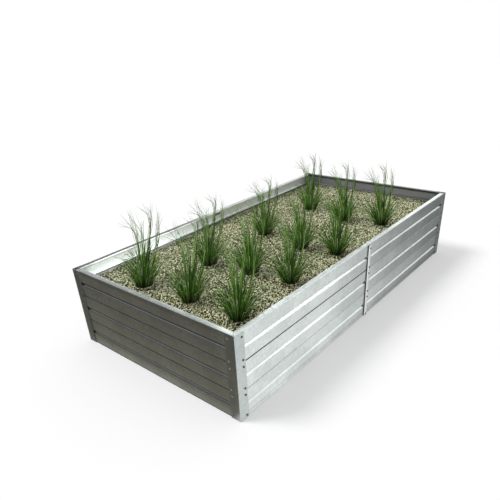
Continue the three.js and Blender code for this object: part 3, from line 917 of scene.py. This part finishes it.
def gravel_drop(spots):
    """How far the gravel lies below its level: low humps, a rise at the walls, level at the clumps."""
    cells = spots / LUMP_SPACING
    i, j = np.floor(cells).T
    u, v = cells.T - (i, j)
    near = drop_at(i, j, HOLLOW_DROPS) * (1 - u) + drop_at(i + 1, j, HOLLOW_DROPS) * u
    far = drop_at(i, j + 1, HOLLOW_DROPS) * (1 - u) + drop_at(i + 1, j + 1, HOLLOW_DROPS) * u
    hump = 1 - 2 * np.maximum(np.abs(u - 0.5), np.abs(v - 0.5))
    drop = (near * (1 - v) + far * v) * (1 - hump) + drop_at(i + 0.5, j + 0.5, HUMP_DROPS) * hump
    from_wall = np.min((HALF_LENGTH, HALF_WIDTH) - np.abs(spots), axis=1) - GRAVEL_INSET
    drop -= WALL_RISE * np.clip(1 - from_wall / WALL_RISE_REACH, 0, 1)
    for at, _, _ in CLUMPS:
        drop[np.hypot(*(spots - at).T) < CROWN_RADIUS + CROWN_MARGIN] = 0
    return drop


def scattered_stones(chance):
    """The middles of the stones: rows like a honeycomb, shaken, and clear of the grass crowns."""
    half_x = HALF_LENGTH - GRAVEL_INSET - STONE_INSET
    half_y = HALF_WIDTH - GRAVEL_INSET - STONE_INSET
    row_step = STONE_SPACING * math.sqrt(0.75)
    rows = np.arange(-half_y, half_y, row_step)
    columns = np.arange(-half_x, half_x, STONE_SPACING)
    x, y = np.meshgrid(columns, rows)
    x = x + (np.arange(len(rows)) % 2)[:, None] * STONE_SPACING / 2
    spots = np.stack([x.ravel(), y.ravel()], axis=1)
    spots += chance.uniform(-STONE_SHAKE, STONE_SHAKE, spots.shape) * STONE_SPACING
    spots = np.clip(spots, (-half_x, -half_y), (half_x, half_y))
    for at, _, _ in CLUMPS:
        spots = spots[np.hypot(*(spots - at).T) > CROWN_CORE]
    return spots


def add_gravel():
    gravel_bed()
    shapes, faces = stone_shapes()
    chance = np.random.default_rng(11)
    spots = scattered_stones(chance)
    spots = spots[np.argsort(spots[:, 0], kind="stable")]
    for strip, middles in enumerate(np.array_split(spots, GRAVEL_STRIPS)):
        count = len(middles)
        sizes = np.stack([
            chance.uniform(*STONE_LENGTHS, count),
            chance.uniform(*STONE_WIDTHS, count),
            chance.uniform(*STONE_THICKNESSES, count),
        ], axis=1) / 2
        turns = turn_matrices(*(
            chance.normal(*spread, count) for spread in (STONE_HEADING, STONE_TILT, STONE_TILT)
        ))
        lumps = shapes[chance.integers(0, STONE_SHAPES, count)]
        points = np.einsum("nij,nkj->nki", turns, lumps * sizes[:, None, :])
        rise = chance.uniform(*STONE_RISES, count) + GRAVEL_TOP - gravel_drop(middles) - sizes[:, 2]
        points += np.concatenate([middles, rise[:, None]], axis=1)[:, None, :]
        tints = chance.beta(*STONE_TINTS, count)[:, None] + lumps[:, :, 0] * 0.02
        chart = np.stack([np.clip(tints, 0.01, 0.99), lumps[:, :, 2] * 0.48 + 0.5], axis=2)
        all_faces = faces[None] + (np.arange(count) * lumps.shape[1])[:, None, None]
        name = f"gravel_stones_{strip + 1}"
        mesh = mesh_from(name, points.reshape(-1, 3), all_faces.reshape(-1, 4).tolist(), chart.reshape(-1, 2))
        finish_piece(add_piece(name, mesh), STONE, "gravel", "gravel_layer")


# ---- Grass ----

BLADE_STEPS = 8
BLADE_ROOT = 0.004  # below the gravel
TUSSOCK_BLADES = 165
TUSSOCK_HEIGHTS = (0.250, 0.145)  # of the longest blades at the middle and at the crown's edge
TUSSOCK_LENGTHS = (0.45, 1.1)  # how these vary
TUSSOCK_SPREAD = (0.010, 0.088)  # how far blades lean out, at the middle and at the edge
LOW_BLADES = 40

# Single blades that bow out of a clump: pale ones in front, dark ones to the left, long ones to the right
ARCHING_BLADES = [
    {
        "angles": [3.9, 4.2, 3.6], "heights": [0.115, 0.085, 0.10],
        "reaches": [0.055, 0.05, 0.062], "tint": 0.97, "width": 0.0024,
    },
    {
        "angles": [3.0, 3.14, 2.8, 3.3], "heights": [0.145, 0.13, 0.155, 0.12],
        "reaches": [0.10, 0.095, 0.085, 0.11], "tint": 0.05, "width": 0.0016,
    },
    {
        "angles": [-0.72, -0.88, -0.5, 0.1], "heights": [0.100, 0.092, 0.108, 0.12],
        "reaches": [0.165, 0.15, 0.16, 0.16], "tint": 0.05, "width": 0.0013,
    },
]


def blade_paths(knots):
    """Smooth paths through the knots of many blades at once, each with the same number of knots."""
    first, last = knots[:, :1], knots[:, -1:]
    padded = np.concatenate([2 * first - knots[:, 1:2], knots, 2 * last - knots[:, -2:-1]], axis=1)
    spans = knots.shape[1] - 1
    paths = []
    for t in np.linspace(0, spans, BLADE_STEPS + 1):
        span = min(int(t), spans - 1)
        u = t - span
        a, b, c, d = (padded[:, span + i] for i in range(4))
        paths.append(0.5 * (2 * b + (c - a) * u + (2 * a - 5 * b + 4 * c - d) * u**2
                            + (3 * b - a - 3 * c + d) * u**3))
    return np.stack(paths, axis=1)


def tussock(chance, count):
    """Knots, widths and tints of the low blades, which stand in a V from the crown. The inner ones
    are the tallest and most upright, and ring goes from 0 at the middle to 1 at the crown's edge."""
    ring = np.sqrt(chance.uniform(0, 1, count))
    angle = chance.uniform(0, 2 * math.pi, count)
    out = np.stack([np.cos(angle), np.sin(angle), np.zeros(count)], axis=1)
    up = np.array([0, 0, 1.0])
    inner, outer = TUSSOCK_HEIGHTS
    height = (inner + (outer - inner) * ring) * chance.uniform(*TUSSOCK_LENGTHS, count)
    start = 0.034 * ring
    inner, outer = TUSSOCK_SPREAD
    reach = start + (inner + (outer - inner) * ring) * chance.uniform(0.5, 1.4, count)
    droop = chance.uniform(0.0, 0.12, count) * ring
    knots = [
        out * start[:, None] - up * BLADE_ROOT,
        out * (start + 0.20 * (reach - start))[:, None] + up * (height * 0.40)[:, None],
        out * (start + 0.55 * (reach - start))[:, None] + up * (height * (0.78 + droop * 0.3))[:, None],
        out * reach[:, None] + up * (height * (1 - droop))[:, None],
    ]
    widths = chance.uniform(0.0012, 0.0023, count)
    tints = chance.choice([0.06, 0.32, 0.58, 0.8, 0.96], count, p=[0.33, 0.17, 0.23, 0.18, 0.09])
    return np.stack(knots, axis=1), widths, tints + chance.uniform(-0.06, 0.04, count)


def arching(chance, angles, heights, reaches, tint, width):
    """Knots, widths and tints of single blades that arch out of the crown and bow down."""
    angle = np.array(angles) + chance.normal(0, 0.05, len(angles))
    out = np.stack([np.cos(angle), np.sin(angle), np.zeros(len(angles))], axis=1)
    height, reach = np.array(heights)[:, None], np.array(reaches)[:, None]
    up = np.array([0, 0, 1.0])
    knots = [
        out * 0.018, out * reach * 0.45 + up * height * 0.7,
        out * reach * 0.8 + up * height, out * reach + up * height * 0.86,
    ]
    count = len(angles)
    return np.stack(knots, axis=1), np.full(count, width), np.full(count, tint)


def stem_blades(chance):
    """Knots, widths and tints of the blades that are bundled in the tall stems."""
    knots, widths, tints = [], [], []
    loose = [0.008, 0.0055, 0.006, 0.013]  # how far each knot strays from the stem's own path
    for path, tips in STEMS:
        for tip, count in tips:
            for _ in range(count):
                route = [np.array(point) * 0.001 for point in (*path, tip)]
                knots.append([p + chance.normal(0, s, 3) for p, s in zip(route, loose)])
                widths.append(chance.uniform(0.0011, 0.0017))
                tints.append(chance.choice([0.08, 0.32, 0.56, 0.8], p=[0.35, 0.3, 0.25, 0.1]))
    return np.array(knots), np.array(widths), np.array(tints)


def blade_mesh_parts(knots, widths, tints, chance):
    """Points, faces and chart of slim three-sided blades that taper to a tip."""
    paths = blade_paths(knots)
    count = len(paths)
    along = np.linspace(0, 1, BLADE_STEPS + 1)
    tangent = np.gradient(paths, axis=1)
    tangent /= np.linalg.norm(tangent, axis=2, keepdims=True)
    facing = chance.uniform(0, 2 * math.pi, count)
    hint = np.stack([np.cos(facing), np.sin(facing), np.zeros(count)], axis=1)[:, None, :]
    across = np.cross(tangent, hint)
    across /= np.linalg.norm(across, axis=2, keepdims=True)
    through = np.cross(tangent, across)
    taper = (1 - 0.8 * along**3) * (0.75 + 0.25 * np.minimum(1, along * 6))
    girth = widths[:, None] * taper[None, :]
    rings = []
    for corner in range(3):
        turn = corner * 2 * math.pi / 3
        rings.append(paths + (across * math.cos(turn) + through * math.sin(turn) * 0.45) * girth[:, :, None])
    ring = np.stack(rings, axis=2)[:, :-1]
    points = np.concatenate([ring.reshape(count, -1, 3), paths[:, -1:]], axis=1)
    u = np.clip(tints[:, None, None] + np.array([-0.008, 0, 0.008]), 0.01, 0.99)
    u = np.broadcast_to(u, (count, BLADE_STEPS, 3)).reshape(count, -1)
    v = np.broadcast_to(along[None, :-1, None], (count, BLADE_STEPS, 3)).reshape(count, -1)
    chart = np.stack([
        np.concatenate([u, tints[:, None]], axis=1),
        np.concatenate([v, np.ones((count, 1))], axis=1) * 0.98 + 0.01,
    ], axis=2)
    sides, tip = [], BLADE_STEPS * 3
    for step in range(BLADE_STEPS - 1):
        for corner in range(3):
            a, b = step * 3 + corner, step * 3 + (corner + 1) % 3
            sides.append((a, b, b + 3, a + 3))
    top = (BLADE_STEPS - 1) * 3
    ends = [(top + c, top + (c + 1) % 3, tip) for c in range(3)] + [(2, 1, 0)]
    return points, sides, ends, chart


def crown_points():
    """The rounded foot of a clump, from a low-poly ball: points and faces."""
    deselect_everything()
    bpy.ops.mesh.primitive_ico_sphere_add(subdivisions=3, radius=1)
    ball = bpy.context.object
    start_edit(ball)
    bpy.ops.mesh.select_all(action="SELECT")
    bpy.ops.transform.vertex_random(offset=0.13, uniform=0.3, seed=5)
    bpy.ops.transform.resize(value=(CROWN_CORE, CROWN_CORE, CROWN_RISE))
    end_edit()
    points = np.array([v.co for v in ball.data.vertices])
    faces = [tuple(face.vertices) for face in ball.data.polygons]
    bpy.data.objects.remove(ball)
    return points, faces


def clump_parts():
    """Points, faces and chart of a clump of the set height, upright, its middle at the origin."""
    chance = np.random.default_rng(23)
    around = chance.uniform(0, 2 * math.pi, LOW_BLADES)
    kinds = [tussock(chance, TUSSOCK_BLADES)]
    low_heights = chance.uniform(0.03, 0.085, LOW_BLADES)
    low_reaches = chance.uniform(0.045, 0.08, LOW_BLADES)
    kinds.append(arching(chance, around, low_heights, low_reaches, tint=0.16, width=0.0015))
    for blades in ARCHING_BLADES:
        kinds.append(arching(chance, **blades))
    kinds.append(stem_blades(chance))
    knots, widths, tints = (np.concatenate(parts) for parts in zip(*kinds))
    points, sides, ends, chart = blade_mesh_parts(knots, widths, tints, chance)
    per_blade = points.shape[1]
    faces = [
        tuple(corner + blade * per_blade for corner in face)
        for blade in range(len(points)) for face in sides + ends
    ]
    points, chart = points.reshape(-1, 3), chart.reshape(-1, 2)
    crown, crown_faces = crown_points()
    faces += [tuple(corner + len(points) for corner in face) for face in crown_faces]
    crown_chart = np.stack([0.2 + crown[:, 0] * 0.5, 0.04 + np.abs(crown[:, 2]) * 4], axis=1)
    return np.concatenate([points, crown]), faces, np.concatenate([chart, crown_chart])


def add_grass():
    points, faces, chart = clump_parts()
    turn = np.array(Matrix.Rotation(CLUMP_TURN, 3, "Z"))
    for number, (at, height, lean) in enumerate(CLUMPS, start=1):
        grown = points * (CLUMP_SPREAD, CLUMP_SPREAD, height / STEM_SET_HEIGHT)
        grown[:, 0] += points[:, 2] * lean / STEM_SET_HEIGHT
        placed = grown @ turn.T + np.array([*at, GRAVEL_TOP])
        node = f"grass_clump_{number}"
        mesh = mesh_from(f"{node}_blades", placed, faces, chart)
        finish_piece(add_piece(mesh.name, mesh), GRASS, "grass", node)


# ---- Pieces of the part that keep their own shape ----


def dress_nodes():
    for name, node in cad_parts.items():
        if name.startswith("clamp_plate"):
            finish = FASTENER_STEEL
        elif name == "soil_fill":
            finish = SOIL
        else:
            continue
        node.data.materials.clear()
        node.data.materials.append(finish)


# ---- Floor, light and camera ----

FLOOR_SIZE = 40
FLOOR_DROP = 0.0005  # below the bed, so that their faces don't meet
SHADE_LIGHT = 0.62  # what reaches the floor in the shade
SUN_LIGHT = 0.42  # what the sun adds
SHADOW_LIFT = 0.3  # how much the floor's shadow is weakened
FRONT_GLOW = (1.2, 0.12)  # what the front wall mirrors of the floor, towards the left and the right
LEFT_GLOW = (0.095, 0.155)  # what the left end mirrors of it, far from the bed and near to it
OTHER_GLOW = 0.45
SKY_GLOW = 0.14  # what the steel mirrors of the sky between the soft lights


def add_floor():
    deselect_everything()
    bpy.ops.mesh.primitive_plane_add(size=FLOOR_SIZE, location=(0, 0, -FLOOR_DROP))
    floor = bpy.context.object
    floor.name = "floor"
    material, r = new_material("floor_white")
    place = r.place()
    x, y = r.axis(place, "X"), r.axis(place, "Y")
    front = r.step(y, -0.45, -0.51)
    left = r.step(x, -0.93, -1.03) * (1 - front)
    front_glow = front * r.step(x + (y + BED_WIDTH / 2), -1.2, 1.75, *FRONT_GLOW)
    left_glow = left * r.step(x, -1.4, -1.0, *LEFT_GLOW)
    glow = front_glow + left_glow + (1 - front) * (1 - left) * OTHER_GLOW
    tint = r.mix(left, rgb(1, 1, 1), rgb(1.10, 1.0, 0.78))
    path = r.tree.nodes.new("ShaderNodeLightPath")
    camera_ray, glossy_ray = (Field(r, path.outputs[name]) for name in ("Is Camera Ray", "Is Glossy Ray"))
    lit = r.node("BsdfDiffuse", {"Color": rgb(1, 1, 1)})
    paper = r.node("Emission", {"Color": rgb(1, 1, 1), "Strength": 1.0})
    white = r.node("MixShader", {0: SHADOW_LIFT, 1: lit, 2: paper})
    grey = r.node("BsdfDiffuse", {"Color": rgb(0.5, 0.5, 0.5)})
    seen_in_metal = r.node("Emission", {"Color": tint, "Strength": glow})
    others = r.node("MixShader", {0: glossy_ray, 1: grey, 2: seen_in_metal})
    r.surface(r.node("MixShader", {0: camera_ray, 1: others, 2: white}))
    floor.data.materials.append(material)


# Soft lights that only the steel mirrors: azimuth and elevation of the middle, the angles from there
# at which each one starts and is full, and its strength
SKY_LIGHTS = [
    (-38, 37, 44, 30, 0.75),
    (-41, 37, 20, 9, 1.70),
    (5, 57, 17, 8, 1.50),
    (46, 24, 30, 15, 0.42),
    (42, 34, 10, 5, 3.60),
    (19, 17, 11, 5, 2.60),
    (41, 16, 11, 5, 1.00),
    (100, 54, 22, 10, 1.20),
    (132, 38, 26, 11, 0.15),
]


def add_sky():
    """White behind the bed, a plain soft light for what is matt, and the soft lights for the steel."""
    world = bpy.data.worlds.new("studio")
    bpy.context.scene.world = world
    r = Recipe(world)
    path = r.tree.nodes.new("ShaderNodeLightPath")
    seen = [Field(r, path.outputs[name]) for name in ("Is Camera Ray", "Is Transmission Ray")]
    glossy = Field(r, path.outputs["Is Glossy Ray"])
    direct = r.node("Math", {0: seen[0], 1: seen[1]}, {"operation": "MAXIMUM"})
    direction = r.node("TexCoord", out="Generated")
    x, y, z = (r.axis(direction, letter) for letter in "XYZ")
    sky = SKY_GLOW
    for azimuth, elevation, far, near, power in SKY_LIGHTS:
        level = math.cos(math.radians(elevation))
        toward_x, toward_y = (level * f(math.radians(azimuth)) for f in (math.cos, math.sin))
        closeness = x * toward_x + y * toward_y + z * math.sin(math.radians(elevation))
        edges = (math.cos(math.radians(angle)) for angle in (far, near))
        sky = r.step(closeness, *edges, 0.0, power) + sky
    strength = direct + (1 - direct) * (glossy * sky + (1 - glossy) * SHADE_LIGHT)
    background = r.node("Background", {"Color": rgb(1, 1, 1), "Strength": strength})
    r.node("OutputWorld", {"Surface": background})


TOWARD_SUN = (-0.45, 0.55, 1.0)
SPOT_AT = (0.5, -2.1, 1.6)
SPOT_AIM = (-0.78, 0.497, 0.37)


def add_sun():
    sun = bpy.data.lights.new("sun", "SUN")
    toward = Vector(TOWARD_SUN).normalized()
    sun.energy = SUN_LIGHT * math.pi / toward.z
    sun.angle = math.radians(20)
    lamp = bpy.data.objects.new("sun", sun)
    bpy.context.collection.objects.link(lamp)
    lamp.rotation_euler = toward.to_track_quat("Z", "Y").to_euler()
    lamp.visible_glossy = False


def add_wall_spot():
    """A spot over the front wall that gives the inside of the back wall its gloss at the left."""
    spot = bpy.data.lights.new("wall_spot", "SPOT")
    spot.energy = 700
    spot.spot_size = math.radians(21)
    spot.spot_blend = 0.9
    spot.shadow_soft_size = 0.3
    lamp = bpy.data.objects.new("wall_spot", spot)
    bpy.context.collection.objects.link(lamp)
    lamp.location = SPOT_AT
    lamp.rotation_euler = (Vector(SPOT_AIM) - lamp.location).to_track_quat("-Z", "Y").to_euler()
    lamp.visible_diffuse = False


CAMERA_AT = (-1.958, -1.4443, 1.2771)
CAMERA_HEADING = 41.42  # degrees from +X towards +Y
CAMERA_TILT = 29.95  # degrees below the horizon
CAMERA_ROLL = -3.49
CAMERA_LENS = 34.21  # mm, on a sensor 36 mm wide
CAMERA_SHIFT = 0.12


def add_camera():
    data = bpy.data.cameras.new("camera")
    data.lens = CAMERA_LENS
    data.sensor_width = 36
    data.shift_y = CAMERA_SHIFT
    camera = bpy.data.objects.new("camera", data)
    bpy.context.collection.objects.link(camera)
    turn = (
        Matrix.Rotation(math.radians(CAMERA_HEADING - 90), 4, "Z")
        @ Matrix.Rotation(math.radians(90 - CAMERA_TILT), 4, "X")
        @ Matrix.Rotation(math.radians(CAMERA_ROLL), 4, "Z")
    )
    camera.matrix_world = Matrix.Translation(CAMERA_AT) @ turn
    bpy.context.scene.camera = camera


bpy.context.scene.view_settings.view_transform = "Standard"
add_camera()
add_walls()
add_corners()
add_joints()
add_gravel()
add_grass()
dress_nodes()
add_floor()
add_sky()
add_sun()
add_wall_spot()
